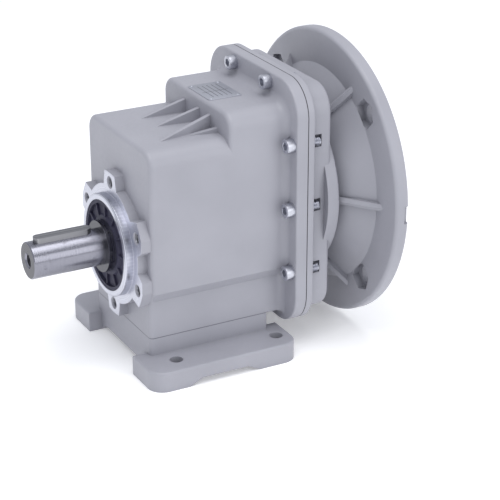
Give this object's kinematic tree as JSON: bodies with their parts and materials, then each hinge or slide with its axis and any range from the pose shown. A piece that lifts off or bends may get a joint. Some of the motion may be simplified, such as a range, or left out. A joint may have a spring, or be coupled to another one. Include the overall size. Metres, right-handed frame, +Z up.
{
  "type": "gearbox",
  "caption": "Foot-mounted in-line two-stage helical gearbox with a keyed 25 mm output shaft, a sealed six-ear output face and a round 200 mm motor flange.",
  "frame": {"origin": "middle of the four foot bolts on the base plane", "axes": "X along the shafts from the output end to the motor end, Y to the left of the gearbox seen from the output end, Z up"},
  "size_m": [0.228, 0.2, 0.204],
  "materials": {
    "cast_grey": "satin",
    "bridge_iron": "matte",
    "ground_steel": "polished",
    "gear_steel": "satin",
    "bearing_steel": "polished",
    "spring_steel": "satin",
    "zinc_screw": "satin",
    "seal_rubber": "matte",
    "gasket": "matte"
  },
  "bodies": {
    "housing": {"housing": "cast_grey", "foot_base": "cast_grey", "foot_screws": "zinc_screw", "joint_gasket": "gasket", "input_cover": "cast_grey", "cover_screws": "zinc_screw", "bearing_bridge": "bridge_iron", "bridge_screws": "zinc_screw", "output_bore_circlip": "spring_steel", "output_oil_seal": "seal_rubber", "input_oil_seal": "seal_rubber", "input_bore_circlip": "spring_steel", "input_distance_ring": "spring_steel", "output_front_bearing_outer_ring": "bearing_steel", "output_rear_bearing_outer_ring": "bearing_steel", "intermediate_front_bearing_outer_ring": "bearing_steel", "intermediate_rear_bearing_outer_ring": "bearing_steel", "input_front_bearing_outer_ring": "bearing_steel", "input_rear_bearing_outer_ring": "bearing_steel"},
    "output_shaft": {"output_shaft": "ground_steel", "output_key": "ground_steel", "output_gear": "gear_steel", "output_gear_key": "ground_steel", "output_gear_circlip": "spring_steel", "output_rear_circlip": "spring_steel", "output_collar_circlip": "spring_steel", "output_front_bearing_inner_ring": "bearing_steel", "output_rear_bearing_inner_ring": "bearing_steel"},
    "intermediate_shaft": {"intermediate_shaft": "gear_steel", "intermediate_gear": "gear_steel", "intermediate_gear_key": "ground_steel", "intermediate_gear_circlip": "spring_steel", "intermediate_front_bearing_inner_ring": "bearing_steel", "intermediate_rear_bearing_inner_ring": "bearing_steel", "intermediate_front_bearing_balls": "bearing_steel", "intermediate_rear_bearing_balls": "bearing_steel"},
    "input_shaft": {"input_shaft": "ground_steel", "input_pinion": "gear_steel", "input_shaft_circlip": "spring_steel", "input_distance_sleeve": "spring_steel", "input_front_bearing_inner_ring": "bearing_steel", "input_rear_bearing_inner_ring": "bearing_steel"},
    "output_front_balls": {"output_front_bearing_balls": "bearing_steel"},
    "output_rear_balls": {"output_rear_bearing_balls": "bearing_steel"},
    "input_front_balls": {"input_front_bearing_balls": "bearing_steel"},
    "input_rear_balls": {"input_rear_bearing_balls": "bearing_steel"}
  },
  "joints": [
    {"name": "output_spin", "type": "hinge", "parent": "housing", "child": "output_shaft", "pos_m": [0, 0, 0.08], "axis": [1, 0, 0], "continuous": true},
    {"name": "intermediate_spin", "type": "hinge", "parent": "housing", "child": "intermediate_shaft", "pos_m": [0, 0, 0.134], "axis": [1, 0, 0], "continuous": true},
    {"name": "input_spin", "type": "hinge", "parent": "housing", "child": "input_shaft", "pos_m": [0, 0, 0.104], "axis": [1, 0, 0], "continuous": true},
    {"name": "output_front_cage_spin", "type": "hinge", "parent": "housing", "child": "output_front_balls", "pos_m": [0, 0, 0.08], "axis": [1, 0, 0], "continuous": true},
    {"name": "output_rear_cage_spin", "type": "hinge", "parent": "housing", "child": "output_rear_balls", "pos_m": [0, 0, 0.08], "axis": [1, 0, 0], "continuous": true},
    {"name": "input_front_cage_spin", "type": "hinge", "parent": "housing", "child": "input_front_balls", "pos_m": [0, 0, 0.104], "axis": [1, 0, 0], "continuous": true},
    {"name": "input_rear_cage_spin", "type": "hinge", "parent": "housing", "child": "input_rear_balls", "pos_m": [0, 0, 0.104], "axis": [1, 0, 0], "continuous": true}
  ],
  "couplings": [
    {"joint": "intermediate_spin", "follows": "output_spin", "ratio": -2.7143},
    {"joint": "input_spin", "follows": "output_spin", "ratio": 5.6095},
    {"joint": "output_front_cage_spin", "follows": "output_spin", "ratio": 0.4165},
    {"joint": "output_rear_cage_spin", "follows": "output_spin", "ratio": 0.40833},
    {"joint": "input_front_cage_spin", "follows": "output_spin", "ratio": 2.3098},
    {"joint": "input_rear_cage_spin", "follows": "output_spin", "ratio": 2.3098}
  ]
}
